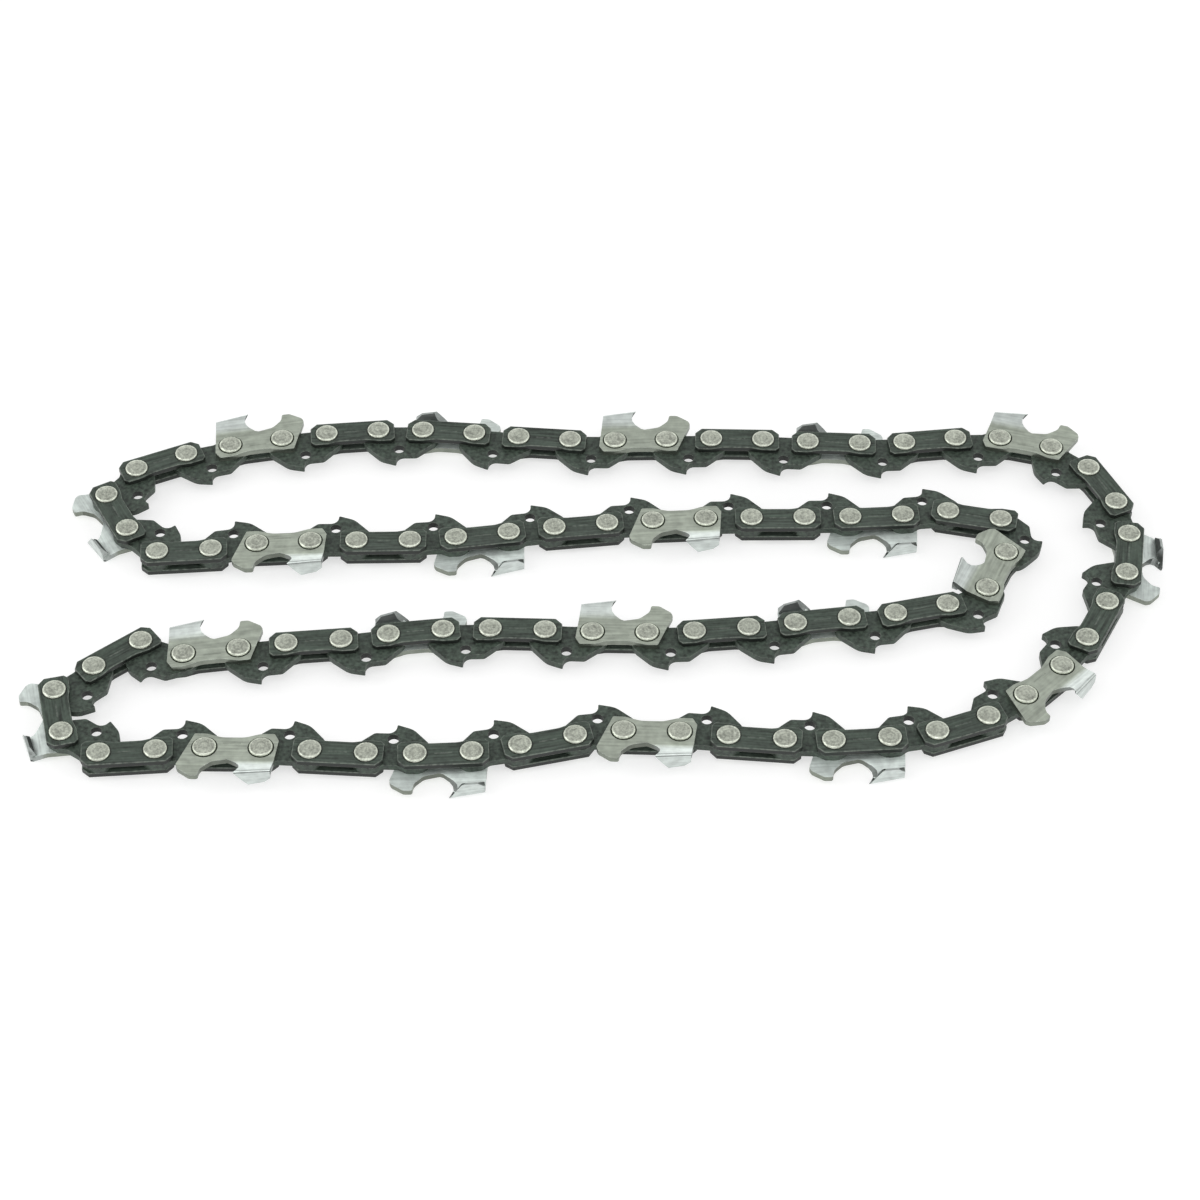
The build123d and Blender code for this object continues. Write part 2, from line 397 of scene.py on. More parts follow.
def drive_link_mesh(sizes):
    """A drive link: round ends, a dip in the outer edge, and the hooked tang with its oil hole."""
    boss = 2.8
    end = DRIVE_HALF + boss
    oil_x, oil_y, oil_radius = -0.2, -4.1, 1.05
    outline = rounded([
        (-end, -2.3, 2.0), (-6.35, -3.5, 0.6), (-3.66, -6.4, 3.6), (-0.72, -7.4, 0.18),
        (-0.5, -5.4, 1.5), (3.2, -5.4, 0.9), (5.6, -3.3, 0.9), (end, -2.1, 1.9),
        (end, boss, 2.7), (2.9, boss, 0.9), (1.35, 1.95, 1.2),
        (-1.35, 1.95, 1.2), (-2.9, boss, 0.9), (-end, boss, 2.7),
    ])
    flat = new_pattern()
    hole = sizes.shank_diameter / MM / 2 + HOLE_PLAY
    loops = [corners_of(flat, outline), corners_of(flat, circle(oil_x, oil_y, oil_radius, HOLE_SIDES))]
    for x in (-DRIVE_HALF, DRIVE_HALF):
        loops.append(corners_of(flat, circle(x, 0, hole, HOLE_SIDES)))
    fill(flat, loops)
    half = sizes.gauge / MM / 2

    def shape(x, y, sink, outside):
        return x, y, half if outside else -half

    # Painted shade inside the oil hole
    def side_shade(x, y):
        return 1.0 if hypot(x - oil_x, y - oil_y) <= oil_radius else 0.0

    rivets = near_rivets(DRIVE_HALF, hole + sizes.edge / MM)
    return sheet_metal("drive link", flat, shape, sizes.edge, rivets, side_shade)


# Cutter's tooth: where it is creased and how far it stands out
CREASE = 3.05
TOOTH_HEIGHT, TOOTH_SET = 6.95, 1.22
TOP_PLATE_END = -0.8

# From front to heel the top plate drops by this length, and the side plate loses this share of its set
TOP_PLATE_DROP = 0.8
SIDE_CLEARANCE = 0.3

# Its front: places along the chain, the hook's depth, the rake, and how far the inner corner is ground back
TOOTH_FOOT, TOOTH_TIP, HOOK_DEPTH = 0.1, -0.7, 1.27
TOP_PLATE_RAKE = radians(33)
GROUND_EDGE = 0.75

# Its heel, and the thickness that the top plate keeps at its free edge
HEEL_FOOT, HEEL_TOP, HEEL_CUT = -7.5, -7.1, 1.1
FREE_EDGE = 0.45

# How finely it is drawn, and a length too small to matter
SIDE_ROWS, BEND_ROWS, TOP_ROWS = 4, 8, 3
TOOTH_COLUMNS = 8
HAIR = 1e-4

# Its buffed finish and painted highlight grow over this length from the crease
POLISH_AND_HIGHLIGHT_FADE = 1.2

# How much shade is painted on a cutter's sides: at the free edge, where gullet and tooth are ground, and
# where sheared
FREE_EDGE_SHADE, GROUND_SIDE_SHADE, SHEARED_SIDE_SHADE = 0.3, 0.85, 0.65
GROUND_START, GULLET_END = (TOOTH_TIP + HEEL_TOP) / 2, 5.4

# Painted on the tooth outside: a dark reflection along the fold, and shade on top and along its edges
FOLD_DARK_REFLECTION, TOP_SHADE, TOOTH_EDGE_SHADE = 0.7, 0.3, 0.5
FOLD_WIDTH = 0.32


def tooth_section(sizes):
    """The tooth's outer face, cut across: by distance from the crease, its place and its normal.

    Also returns the distances of the rows that it is drawn in, and of its cutting corner.
    """
    plate_face = (sizes.gauge / 2 + sizes.plate) / MM
    bend = sizes.tooth_bend / MM
    centre = Vector((TOOTH_HEIGHT - bend, plate_face + TOOTH_SET - bend))
    away = centre - Vector((CREASE, plate_face))
    lean = atan2(away.y, away.x) + asin(bend / away.length)
    side_length = (away + bend * Vector((-sin(lean), cos(lean)))).length
    bend_length = bend * (lean + pi / 2)

    def at(distance):
        if distance <= side_length:
            place = Vector((CREASE, plate_face)) + distance * Vector((cos(lean), sin(lean)))
            return place, Vector((-sin(lean), cos(lean)))
        turned = lean - min(distance - side_length, bend_length) / bend
        normal = Vector((-sin(turned), cos(turned)))
        over = max(0.0, distance - side_length - bend_length)
        return centre + bend * normal - Vector((0, over)), normal

    top_length = centre.y - TOP_PLATE_END
    rows = [side_length * k / SIDE_ROWS for k in range(1, SIDE_ROWS + 1)]
    rows += [side_length + bend_length * k / BEND_ROWS for k in range(1, BEND_ROWS + 1)]
    rows += [side_length + bend_length + top_length * k / TOP_ROWS for k in range(1, TOP_ROWS + 1)]
    return at, rows, side_length + bend_length / 2


def cutter_mesh(sizes):
    """A cutter, stamped flat and bent: side plate, depth gauge, gullet, and the tooth over the chain."""
    at, rows, corner_distance = tooth_section(sizes)
    plate_face = (sizes.gauge / 2 + sizes.plate) / MM
    thickness = sizes.plate / MM
    stamp_x, stamp_y = 0.2, -0.9

    def front_of(distance):
        """Front edge of the tooth: hooked up the side, raked back over the chain."""
        if distance > corner_distance:
            return TOOTH_TIP - (distance - corner_distance) * tan(TOP_PLATE_RAKE)
        share = distance / corner_distance
        return TOOTH_FOOT + (TOOTH_TIP - TOOTH_FOOT) * share - 4 * HOOK_DEPTH * share * (1 - share)

    def tooth_row(distance):
        """Corners across the tooth at this distance from the crease, from its front to its heel."""
        front = front_of(distance)
        heel = HEEL_FOOT + (HEEL_TOP - HEEL_FOOT) * min(1.0, distance / corner_distance)
        heel += HEEL_CUT * max(0.0, (distance - rows[-2]) / (rows[-1] - rows[-2]))
        shares = (k / TOOTH_COLUMNS for k in range(TOOTH_COLUMNS + 1))
        return [(front + (heel - front) * share, CREASE + distance) for share in shares]

    def outer_shade_and_reflection(distance):
        """What is painted on the tooth outside, just before this distance from the crease: a dark reflection
        along the fold, then shade on top.
        """
        if distance <= corner_distance:
            return 0.0
        return FOLD_DARK_REFLECTION if distance < corner_distance + FOLD_WIDTH else TOP_SHADE

    flat = new_pattern()
    head = sizes.head_diameter / MM / 2
    hole = sizes.shank_diameter / MM / 2 + HOLE_PLAY
    below = corners_of(flat, tooth_row(0.0))
    outline = rounded([
        (HEEL_FOOT, CREASE, 0.0), (-8.05, -1.6, 0.3), (-7.25, -3.1, 0.3), (-4.8, -3.1, 3.0),
        (-2.0, -2.25, 4.0), (2.0, -2.25, 4.0), (4.8, -3.1, 3.0), (6.95, -3.1, 0.25),
        (9.7, 4.0, 0.7), (9.35, 4.9, 0.8), (7.2, 6.45, 0.9), (5.7, 6.5, 0.4), (5.45, 5.0, 2.0),
        (3.6, 3.3, 2.2), (0.75, 2.75, 0.4), (TOOTH_FOOT, CREASE, 0.0),
    ])
    loops = [corners_of(flat, outline[1:-1]) + below]
    for x in (-TIE_HALF, TIE_HALF):
        loops.append(riveted_hole(flat, x, hole, head + CUTTER_GROOVE_PLAY, CUTTER_GROOVE))
    loops.append(stamped_line(flat, stamp_x, stamp_y, sizes.stamp_depth / MM, dull=CUTTER_STAMP_DARKENING))
    fill(flat, loops)
    for distance in rows:
        row = corners_of(flat, tooth_row(distance))
        for k in range(TOOTH_COLUMNS):
            new_face(flat, (below[k], row[k], row[k + 1], below[k + 1]), dull=outer_shade_and_reflection(distance))
        below = row

    def shape(x, y, sink, outside):
        distance = y - CREASE
        if distance <= 0 or x > TOOTH_FOOT:
            return x, y, plate_face - sink if outside else plate_face - thickness
        place, normal = at(distance)
        back = min(1.0, max(0.0, (TOOTH_TIP - x) / (TOOTH_TIP - HEEL_TOP)))
        height = CREASE + (place.x - CREASE) * (1 - back * TOP_PLATE_DROP / (TOOTH_HEIGHT - CREASE))
        level = plate_face + (place.y - plate_face) * (1 - SIDE_CLEARANCE * back)
        if outside:
            return x, height, level
        ground = GROUND_EDGE * min(1.0, distance) if x >= front_of(distance) - HAIR else 0.0
        depth = FREE_EDGE if distance > rows[-1] - HAIR else thickness
        return x - ground, height - depth * normal.x, level - depth * normal.y

    # Painted shade on the cutter's sides
    def side_shade(x, y):
        if y > CREASE + rows[-1] - HAIR:
            return FREE_EDGE_SHADE
        return GROUND_SIDE_SHADE if y > 0 and GROUND_START < x < GULLET_END else SHEARED_SIDE_SHADE

    # Painted shade under the top plate, whose inner face is also bare of chrome
    def inner_shade_and_bare(x, y):
        return 1.0 if y > CREASE + corner_distance and x < TOOTH_FOOT else 0.0

    # Painted shade along the tooth's edges
    def edge_shade(x, y):
        return TOOTH_EDGE_SHADE if y > CREASE + POLISH_AND_HIGHLIGHT_FADE and x < TOOTH_FOOT else 0.0

    # Inside, the cutter is painted with highlight all over
    mesh = sheet_metal("cutter", flat, shape, sizes.edge, near_rivets(TIE_HALF, head),
                       side_shade, inner_highlight=1.0, inner_shade_and_bare=inner_shade_and_bare, edge_shade=edge_shade)
    # The tooth is buffed and painted with highlight, more so toward its top
    polished_and_highlit = mesh.attributes.new("polish", "FLOAT", "POINT")
    for i, vertex in enumerate(mesh.vertices):
        if vertex.co.x < TOOTH_FOOT * MM:
            polished_and_highlit.data[i].value = min(1.0, max(0.0, (vertex.co.y / MM - CREASE) / POLISH_AND_HIGHLIGHT_FADE))
    return mesh


# Node trees that lay the pieces

def new_lay_tree(name, sockets):
    """A geometry tree with these named inputs, and the sockets that give them."""
    tree = bpy.data.node_groups.new(name, "GeometryNodeTree")
    for socket, kind in sockets.items():
        tree.interface.new_socket(socket, in_out="INPUT", socket_type=kind)
    tree.interface.new_socket("Geometry", in_out="OUTPUT", socket_type="NodeSocketGeometry")
    return tree, add(tree, "NodeGroupInput").outputs


def end_lay_tree(tree, geometry, shade, finish):
    """Marks what was laid with its link's shade, and gives it its material."""
    shaded = add(tree, "GeometryNodeStoreNamedAttribute",
                 {"Geometry": geometry, "Name": "shade", "Value": shade})
    finished = add(tree, "GeometryNodeSetMaterial", {"Geometry": shaded.outputs[0], "Material": finish})
    add(tree, "NodeGroupOutput", {"Geometry": finished.outputs[0]})
    return tree


PLATE_TREE = "Lay a plate between two rivets"


def plate_tree():
    """Lays a plate between two rivets: on top of the chain, underneath it, or both."""
    tree, given = new_lay_tree(PLATE_TREE, {
        "Plate": "NodeSocketObject", "Rear rivet": "NodeSocketVector", "Front rivet": "NodeSocketVector",
        "On top": "NodeSocketBool", "Underneath": "NodeSocketBool",
        "Shade": "NodeSocketFloat", "Finish": "NodeSocketMaterial"})
    plate = add(tree, "GeometryNodeObjectInfo", {"Object": given["Plate"]}).outputs["Geometry"]
    upper = add(tree, "GeometryNodeSwitch", {"Switch": given["On top"], "True": plate})
    turned = add(tree, "GeometryNodeTransform", {"Geometry": plate, "Scale": (1, 1, -1)})
    flipped = add(tree, "GeometryNodeFlipFaces", {"Mesh": turned.outputs[0]})
    lower = add(tree, "GeometryNodeSwitch", {"Switch": given["Underneath"], "True": flipped.outputs[0]})
    both = add(tree, "GeometryNodeJoinGeometry")
    tree.links.new(upper.outputs[0], both.inputs[0])
    tree.links.new(lower.outputs[0], both.inputs[0])
    total = add(tree, "ShaderNodeVectorMath",
                {0: given["Rear rivet"], 1: given["Front rivet"]}, operation="ADD")
    middle = add(tree, "ShaderNodeVectorMath", {0: total.outputs[0], "Scale": 0.5}, operation="SCALE")
    along = add(tree, "ShaderNodeVectorMath",
                {0: given["Front rivet"], 1: given["Rear rivet"]}, operation="SUBTRACT")
    parts = add(tree, "ShaderNodeSeparateXYZ", {0: along.outputs[0]})
    heading = add(tree, "ShaderNodeMath",
                  {0: parts.outputs["Y"], 1: parts.outputs["X"]}, operation="ARCTAN2")
    turn = add(tree, "ShaderNodeCombineXYZ", {"Z": heading.outputs[0]})
    rotation = add(tree, "FunctionNodeEulerToRotation", {0: turn.outputs[0]})
    point = add(tree, "GeometryNodePoints", {"Count": 1, "Position": middle.outputs[0]})
    laid = add(tree, "GeometryNodeInstanceOnPoints", {
        "Points": point.outputs[0], "Instance": both.outputs[0], "Rotation": rotation.outputs[0]})
    real = add(tree, "GeometryNodeRealizeInstances", {"Geometry": laid.outputs[0]})
    return end_lay_tree(tree, real.outputs[0], given["Shade"], given["Finish"])


# A rivet's outline has these rings: down the head, in under it, and along the shank
HEAD_RINGS = 7
RIVET_RINGS = HEAD_RINGS + 2


def rivet_tree():
    """Turns a rivet with a head at each end, and sets one at each of a link's two places."""
    tree, given = new_lay_tree("Set two spun rivets", {
        "Rear rivet": "NodeSocketVector", "Front rivet": "NodeSocketVector",
        "Head radius": "NodeSocketFloat", "Head rise": "NodeSocketFloat", "Fullness": "NodeSocketFloat",
        "Shank radius": "NodeSocketFloat", "Plate face": "NodeSocketFloat", "Sides": "NodeSocketInt",
        "Shade": "NodeSocketFloat", "Finish": "NodeSocketMaterial"})
    columns = add(tree, "ShaderNodeMath", {0: given["Sides"], 1: 1.0}, operation="ADD")
    grid = add(tree, "GeometryNodeMeshGrid", {
        "Size X": RIVET_RINGS, "Size Y": 2 * pi,
        "Vertices X": RIVET_RINGS + 1, "Vertices Y": columns.outputs[0]})
    top = -RIVET_RINGS / 2
    rim, neck, middle = top + HEAD_RINGS, top + HEAD_RINGS + 1, top + RIVET_RINGS

    # Each grid row becomes a ring: a full curve over the head, then in under it, then down the shank
    position = add(tree, "GeometryNodeInputPosition").outputs[0]
    spread = add(tree, "ShaderNodeSeparateXYZ", {0: position}).outputs
    power = add(tree, "ShaderNodeMath", {0: 2.0, 1: given["Fullness"]}, operation="DIVIDE")
    quarter = add(tree, "ShaderNodeMapRange", {
        "Value": spread["X"], "From Min": top, "From Max": rim, "To Min": 0.0, "To Max": pi / 2})
    out = add(tree, "ShaderNodeMath", {0: quarter.outputs[0]}, operation="SINE")
    share = add(tree, "ShaderNodeMath", {0: out.outputs[0], 1: power.outputs[0]}, operation="POWER")
    reach = add(tree, "ShaderNodeMapRange", {
        "Value": spread["X"], "From Min": rim, "From Max": neck,
        "To Min": given["Head radius"], "To Max": given["Shank radius"]})
    radius = add(tree, "ShaderNodeMath", {0: share.outputs[0], 1: reach.outputs[0]}, operation="MULTIPLY")
    up = add(tree, "ShaderNodeMath", {0: quarter.outputs[0]}, operation="COSINE")
    crown = add(tree, "ShaderNodeMath", {0: up.outputs[0], 1: power.outputs[0]}, operation="POWER")
    face = add(tree, "ShaderNodeMapRange", {
        "Value": spread["X"], "From Min": neck, "From Max": middle,
        "To Min": given["Plate face"], "To Max": 0.0})
    level = add(tree, "ShaderNodeMath", {
        0: crown.outputs[0], 1: given["Head rise"], 2: face.outputs[0]}, operation="MULTIPLY_ADD")
    outline = add(tree, "ShaderNodeCombineXYZ", {"X": radius.outputs[0], "Z": level.outputs[0]})
    place = add(tree, "ShaderNodeVectorRotate", {
        "Vector": outline.outputs[0], "Angle": spread["Y"]}, rotation_type="Z_AXIS")
    half = add(tree, "GeometryNodeSetPosition", {
        "Geometry": grid.outputs["Mesh"], "Position": place.outputs[0]})

    # The other half is its mirror image
    turned = add(tree, "GeometryNodeTransform", {"Geometry": half.outputs[0], "Scale": (1, 1, -1)})
    flipped = add(tree, "GeometryNodeFlipFaces", {"Mesh": turned.outputs[0]})
    both = add(tree, "GeometryNodeJoinGeometry")
    tree.links.new(half.outputs[0], both.inputs[0])
    tree.links.new(flipped.outputs[0], both.inputs[0])
    closed = add(tree, "GeometryNodeMergeByDistance", {"Geometry": both.outputs[0], "Distance": SAME_PLACE})
    smooth = add(tree, "GeometryNodeSetShadeSmooth", {"Geometry": closed.outputs[0]})
    angle = add(tree, "GeometryNodeInputMeshEdgeAngle")
    corner = add(tree, "ShaderNodeMath", {0: angle.outputs[0], 1: CORNER_ANGLE}, operation="GREATER_THAN")
    sharp = add(tree, "GeometryNodeSetShadeSmooth", {
        "Geometry": smooth.outputs[0], "Selection": corner.outputs[0], "Shade Smooth": False}, domain="EDGE")
    placed = add(tree, "GeometryNodeStoreNamedAttribute", {
        "Geometry": sharp.outputs[0], "Name": "place", "Value": position}, data_type="FLOAT_VECTOR")

    # One at the rear place and one at the front place
    way = add(tree, "ShaderNodeVectorMath",
              {0: given["Front rivet"], 1: given["Rear rivet"]}, operation="SUBTRACT")
    which = add(tree, "GeometryNodeInputIndex").outputs[0]
    where = add(tree, "ShaderNodeVectorMath", {
        0: way.outputs[0], 1: which, 2: given["Rear rivet"]}, operation="MULTIPLY_ADD")
    points = add(tree, "GeometryNodePoints", {"Count": 2, "Position": where.outputs[0]})
    laid = add(tree, "GeometryNodeInstanceOnPoints", {
        "Points": points.outputs[0], "Instance": placed.outputs[0]})
    real = add(tree, "GeometryNodeRealizeInstances", {"Geometry": laid.outputs[0]})
    return end_lay_tree(tree, real.outputs[0], given["Shade"], given["Finish"])


def lay(tree, wanted):
    """Runs a tree once for each named piece, and leaves each as an object with a plain mesh."""
    sockets = {item.name: item.identifier for item in tree.interface.items_tree if item.in_out == "INPUT"}
    pieces = []
    for name, inputs in wanted.items():
        piece = bpy.data.objects.new(name, bpy.data.meshes.new(name))
        bpy.context.scene.collection.objects.link(piece)
        modifier = piece.modifiers.new("Lay", "NODES")
        modifier.node_group = tree
        for socket, value in inputs.items():
            modifier[sockets[socket]] = value
        pieces.append(piece)
    depsgraph = bpy.context.evaluated_depsgraph_get()
    for piece in pieces:
        mesh = bpy.data.meshes.new_from_object(
            piece.evaluated_get(depsgraph), preserve_all_data_layers=True, depsgraph=depsgraph)
        if not mesh.polygons:
            raise RuntimeError(f"{piece.name} came out empty")
        mesh.name = piece.name
        piece.modifiers.clear()
        piece.data = mesh
    return pieces


def lay_plates(mesh, ending, material, wanted):
    """Lays copies of a plate: wanted lists the link, its two rivets, and whether on top and underneath."""
    pattern = bpy.data.objects.new("pattern", mesh)
    bpy.context.scene.collection.objects.link(pattern)
    inputs = {}
    for link, rear, front, on_top, underneath in wanted:
        inputs[f"{link.body}.{ending}"] = {
            "Plate": pattern, "Rear rivet": rear, "Front rivet": front, "On top": on_top,
            "Underneath": underneath, "Shade": link.shade, "Finish": material}
    pieces = lay(bpy.data.node_groups.get(PLATE_TREE) or plate_tree(), inputs)
    for piece, row in zip(pieces, wanted):
        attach(piece, row[0].body)
    bpy.data.objects.remove(pattern)
    return pieces


# Finishes

# A wave texture of scale 1 repeats after this length
WAVE_PERIOD = 2 * pi / 20

# Noise seldom leaves this range
NOISE_LOW, NOISE_HIGH = 0.3, 0.7

# Sockets of a mix node that mixes colours
COLOUR_A, COLOUR_B, MIXED_COLOUR = 6, 7, 2


def new_metal(name):
    """A new material, its tree and its shader, each point's place in its own piece, and that place moved.

    It is moved by the link's shade, so that the pattern differs from link to link.
    """
    material = bpy.data.materials.new(name)
    material.use_nodes = True
    tree = material.node_tree
    place = add(tree, "ShaderNodeAttribute", attribute_name="place").outputs["Vector"]
    shade = add(tree, "ShaderNodeAttribute", attribute_name="shade").outputs["Fac"]
    moved = add(tree, "ShaderNodeVectorMath", {0: place, 1: shade}, operation="ADD")
    return material, tree, tree.nodes["Principled BSDF"], place, moved.outputs[0]


def black_oxide_steel(name, colour, worn_and_highlit, mottled, wear_and_highlight_most):
    """Stamped sheet steel, blackened and oiled.

    Dark and faintly green, with marks drawn lengthwise and a mottled skin, blacker where shade is painted,
    as on straps' sides, in oil holes and in the grooves round the heads, and grey along its broken edges,
    which are abraded and painted with highlight. The marks are coarser than real ones, so that they show.
    """
    material, tree, shader, _, moved = new_metal(name)
    length, width, mottle = 7.0 * MM, 0.4 * MM, 0.7 * MM
    drawn = add(tree, "ShaderNodeMapping", {"Vector": moved, "Scale": (1 / length, 1 / width, 1 / width)})
    marks = add(tree, "ShaderNodeTexNoise", {"Vector": drawn.outputs[0], "Scale": 1.0, "Detail": 2.0})
    skin = add(tree, "ShaderNodeTexNoise", {"Vector": moved, "Scale": 1 / mottle, "Detail": 3.0})
    tone = add(tree, "ShaderNodeMix", {"Factor": mottled, "A": marks.outputs[0], "B": skin.outputs[0]})
    strength = add(tree, "ShaderNodeMapRange", {
        "Value": tone.outputs[0], "From Min": NOISE_LOW, "From Max": NOISE_HIGH,
        "To Min": 0.2, "To Max": 1.8})
    # Painted shade darkens the colour
    dull = add(tree, "ShaderNodeAttribute", attribute_name="dull").outputs["Fac"]
    unshaded_share = add(tree, "ShaderNodeMapRange", {"Value": dull, "To Min": 1.0, "To Max": 0.2})
    depth = add(tree, "ShaderNodeMath",
                {0: strength.outputs[0], 1: unshaded_share.outputs[0]}, operation="MULTIPLY")
    tint = add(tree, "ShaderNodeVectorMath",
               {0: tuple(colour), "Scale": depth.outputs[0]}, operation="SCALE")
    # Broken edges take the paler colour: abrasion and a painted highlight
    wear = add(tree, "ShaderNodeAttribute", attribute_name="wear").outputs["Fac"]
    rubbing_and_highlight = add(tree, "ShaderNodeMapRange", {
        "Value": skin.outputs[0], "From Min": 0.35, "From Max": 0.65, "To Min": 0.1, "To Max": wear_and_highlight_most})
    rubbed_and_highlighted = add(tree, "ShaderNodeMath", {0: wear, 1: rubbing_and_highlight.outputs[0]}, operation="MULTIPLY")
    base = add(tree, "ShaderNodeMix", {
        "Factor": rubbed_and_highlighted.outputs[0], COLOUR_A: tint.outputs[0], COLOUR_B: (*worn_and_highlit, 1)}, data_type="RGBA")
    sheen = add(tree, "ShaderNodeMapRange", {
        "Value": tone.outputs[0], "From Min": NOISE_LOW, "From Max": NOISE_HIGH,
        "To Min": 0.34, "To Max": 0.6})
    relief = add(tree, "ShaderNodeBump", {
        "Height": tone.outputs[0], "Strength": 0.4, "Distance": 0.05 * MM})
    tree.links.new(base.outputs[MIXED_COLOUR], shader.inputs["Base Color"])
    tree.links.new(sheen.outputs[0], shader.inputs["Roughness"])
    tree.links.new(relief.outputs[0], shader.inputs["Normal"])
    return material


def cutter_steel(satin, polished_and_highlit):
    """Chromed cutter steel.

    Satin grey and brushed lengthwise on the flat, brighter and smoother on the tooth, where it is buffed and
    a highlight is painted, pale with painted highlight and matt inside and along its broken edges, and
    darker grey where
    shade is painted: on the sides, on top, along the tooth's edges and under the top plate, which is also
    bare of chrome inside, with a dark reflection painted along the fold. The brushing is drawn coarser than
    real, so that it shows.
    """
    material, tree, shader, _, moved = new_metal("Chromed cutter steel, satin and polished")
    length, width, cloud = 7.0 * MM, 0.4 * MM, 1.5 * MM
    drawn = add(tree, "ShaderNodeMapping", {"Vector": moved, "Scale": (1 / length, 1 / width, 1 / width)})
    marks = add(tree, "ShaderNodeTexNoise", {"Vector": drawn.outputs[0], "Scale": 1.0, "Detail": 2.0})
    clouds = add(tree, "ShaderNodeTexNoise", {"Vector": moved, "Scale": 1 / cloud, "Detail": 4.0})
    tone = add(tree, "ShaderNodeMix", {"Factor": 0.5, "A": marks.outputs[0], "B": clouds.outputs[0]})
    # The tooth's buffed finish, and abrasion on edges and inner faces, take the brighter colour, which is
    # also a painted highlight
    polish = add(tree, "ShaderNodeAttribute", attribute_name="polish").outputs["Fac"]
    wear = add(tree, "ShaderNodeAttribute", attribute_name="wear").outputs["Fac"]
    smooth = add(tree, "ShaderNodeMath", {0: polish, 1: wear}, operation="MAXIMUM")
    base = add(tree, "ShaderNodeMix", {
        "Factor": smooth.outputs[0], COLOUR_A: (*satin, 1), COLOUR_B: (*polished_and_highlit, 1)}, data_type="RGBA")
    strength = add(tree, "ShaderNodeMapRange", {
        "Value": tone.outputs[0], "From Min": NOISE_LOW, "From Max": NOISE_HIGH,
        "To Min": 0.75, "To Max": 1.25})
    # Painted shade, and bare steel under the top plate, darken the colour
    dull = add(tree, "ShaderNodeAttribute", attribute_name="dull").outputs["Fac"]
    unshaded_share = add(tree, "ShaderNodeMapRange", {"Value": dull, "To Min": 1.0, "To Max": 0.18})
    depth = add(tree, "ShaderNodeMath",
                {0: strength.outputs[0], 1: unshaded_share.outputs[0]}, operation="MULTIPLY")
    tint = add(tree, "ShaderNodeVectorMath",
               {0: base.outputs[MIXED_COLOUR], "Scale": depth.outputs[0]}, operation="SCALE")
    brushed = add(tree, "ShaderNodeMapRange", {
        "Value": marks.outputs[0], "From Min": NOISE_LOW, "From Max": NOISE_HIGH,
        "To Min": 0.32, "To Max": 0.5})
    buffed = add(tree, "ShaderNodeMapRange", {
        "Value": polish, "To Min": brushed.outputs[0], "To Max": 0.34})
    sheen = add(tree, "ShaderNodeMapRange", {"Value": wear, "To Min": buffed.outputs[0], "To Max": 0.62})
    relief = add(tree, "ShaderNodeBump", {
        "Height": tone.outputs[0], "Strength": 0.3, "Distance": 0.04 * MM})
    tree.links.new(tint.outputs[0], shader.inputs["Base Color"])
    tree.links.new(sheen.outputs[0], shader.inputs["Roughness"])
    tree.links.new(relief.outputs[0], shader.inputs["Normal"])
    shader.inputs["Metallic"].default_value = 1.0
    return material


def rivet_steel(colour):
    """Spun rivet steel: bright and satin, clouded, with rings and small pits from the spinning tool."""
    material, tree, shader, place, moved = new_metal("Rivet steel, spun")
    pit, cloud, ring = 0.3 * MM, 1.1 * MM, 0.8 * MM
    ring_share = 0.15
    pits = add(tree, "ShaderNodeTexNoise", {"Vector": moved, "Scale": 1 / pit, "Detail": 3.0})
    clouds = add(tree, "ShaderNodeTexNoise", {"Vector": moved, "Scale": 1 / cloud, "Detail": 4.0})
    rings = add(tree, "ShaderNodeTexWave", {
        "Vector": place, "Scale": WAVE_PERIOD / ring,
        "Distortion": 2.0, "Detail": 1.0, "Detail Scale": 1.0}, wave_type="RINGS", rings_direction="Z")
    tone = add(tree, "ShaderNodeMath", {0: clouds.outputs[0], 1: pits.outputs[0]}, operation="ADD")
    spun = add(tree, "ShaderNodeMath", {
        0: rings.outputs["Fac"], 1: ring_share, 2: tone.outputs[0]}, operation="MULTIPLY_ADD")
    strength = add(tree, "ShaderNodeMapRange", {
        "Value": spun.outputs[0], "From Min": 0.65, "From Max": 1.5, "To Min": 0.45, "To Max": 1.5})
    tint = add(tree, "ShaderNodeVectorMath",
               {0: tuple(colour), "Scale": strength.outputs[0]}, operation="SCALE")
    sheen = add(tree, "ShaderNodeMapRange", {"Value": pits.outputs[0], "To Min": 0.24, "To Max": 0.46})
    relief = add(tree, "ShaderNodeBump", {
        "Height": spun.outputs[0], "Strength": 0.35, "Distance": 0.03 * MM})
    tree.links.new(tint.outputs[0], shader.inputs["Base Color"])
    tree.links.new(sheen.outputs[0], shader.inputs["Roughness"])
    tree.links.new(relief.outputs[0], shader.inputs["Normal"])
    shader.inputs["Metallic"].default_value = 1.0
    return material


